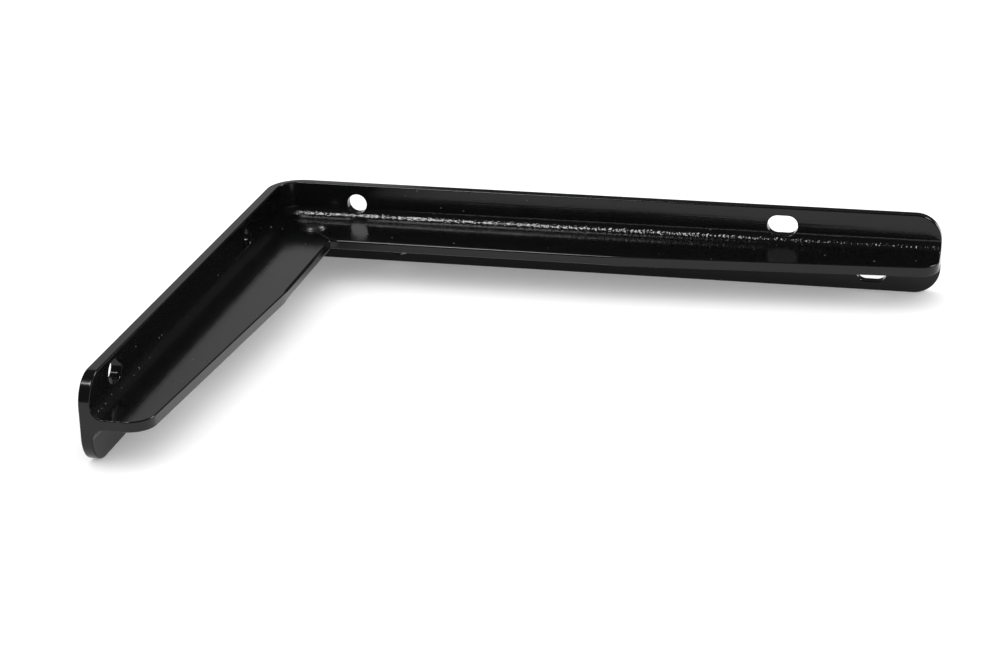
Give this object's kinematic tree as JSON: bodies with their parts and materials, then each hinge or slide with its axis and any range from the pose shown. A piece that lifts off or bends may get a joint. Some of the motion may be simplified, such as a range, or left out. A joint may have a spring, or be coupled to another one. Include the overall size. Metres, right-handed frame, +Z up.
{
  "type": "shelf bracket",
  "caption": "Right-angle shelf bracket of black painted T bar, with round screw holes and slots in both legs.",
  "frame": {"origin": "under the middle of the bounding box, on the surface that the bracket lies on", "axes": "+X along the long leg, away from the corner; -Y along the short leg, away from the corner; +Z up, across the flanges. The long leg's outer face looks along +Y and the short leg's along -X. On a wall the bracket is turned so that one of these faces the wall."},
  "size_m": [0.25, 0.2, 0.0295],
  "materials": {
    "black_gloss_paint": "gloss"
  },
  "bodies": {
    "root": {"bracket": "black_gloss_paint"}
  },
  "joints": []
}
